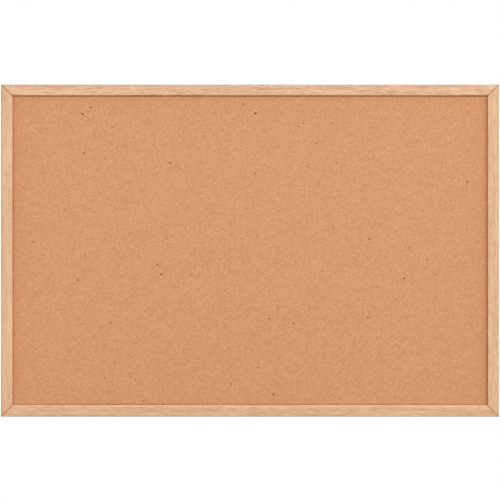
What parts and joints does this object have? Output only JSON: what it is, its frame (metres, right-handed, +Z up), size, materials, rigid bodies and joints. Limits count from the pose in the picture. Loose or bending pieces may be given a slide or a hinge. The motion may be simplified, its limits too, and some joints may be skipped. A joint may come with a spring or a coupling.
{
  "type": "cork board",
  "caption": "Wall-hung cork pinboard: a cork-faced panel in a mitred, rabbeted pale wood frame, with swinging ring hangers and bumpers on its back.",
  "frame": {"origin": "the middle of the board's bounding box, which is half way across its width and height and half way from the frame's front to the wall that the bumpers touch", "axes": "+X to the right as the board is looked at, +Y back to the wall, +Z up"},
  "size_m": [0.9, 0.02, 0.6],
  "materials": {
    "pale_wood": "satin",
    "cork": "matte",
    "fibre_core": "matte",
    "backing": "matte",
    "zinc_steel": "satin",
    "clear_rubber": "satin"
  },
  "bodies": {
    "board": {"top_rail": "pale_wood", "bottom_rail": "pale_wood", "left_stile": "pale_wood", "right_stile": "pale_wood", "cork_sheet": "cork", "core_board": "fibre_core", "backing_sheet": "backing", "v_nail_top_left_outer": "zinc_steel", "v_nail_top_left_inner": "zinc_steel", "v_nail_top_right_outer": "zinc_steel", "v_nail_top_right_inner": "zinc_steel", "v_nail_bottom_right_outer": "zinc_steel", "v_nail_bottom_right_inner": "zinc_steel", "v_nail_bottom_left_outer": "zinc_steel", "v_nail_bottom_left_inner": "zinc_steel", "framers_point_top_1": "zinc_steel", "framers_point_top_2": "zinc_steel", "framers_point_top_3": "zinc_steel", "framers_point_top_4": "zinc_steel", "framers_point_bottom_1": "zinc_steel", "framers_point_bottom_2": "zinc_steel", "framers_point_bottom_3": "zinc_steel", "framers_point_bottom_4": "zinc_steel", "framers_point_left_1": "zinc_steel", "framers_point_left_2": "zinc_steel", "framers_point_left_3": "zinc_steel", "framers_point_right_1": "zinc_steel", "framers_point_right_2": "zinc_steel", "framers_point_right_3": "zinc_steel", "left_hanger_strap": "zinc_steel", "left_hanger_screw": "zinc_steel", "right_hanger_strap": "zinc_steel", "right_hanger_screw": "zinc_steel", "left_wall_bumper": "clear_rubber", "right_wall_bumper": "clear_rubber"},
    "left_ring": {"left_hanger_ring": "zinc_steel"},
    "right_ring": {"right_hanger_ring": "zinc_steel"}
  },
  "joints": [
    {"name": "left_ring_swing", "type": "hinge", "parent": "board", "child": "left_ring", "pos_m": [-0.442, 0.0073, 0.15], "axis": [1, 0, 0], "range_deg": [0, 180]},
    {"name": "right_ring_swing", "type": "hinge", "parent": "board", "child": "right_ring", "pos_m": [0.442, 0.0073, 0.15], "axis": [1, 0, 0], "range_deg": [0, 180]}
  ]
}
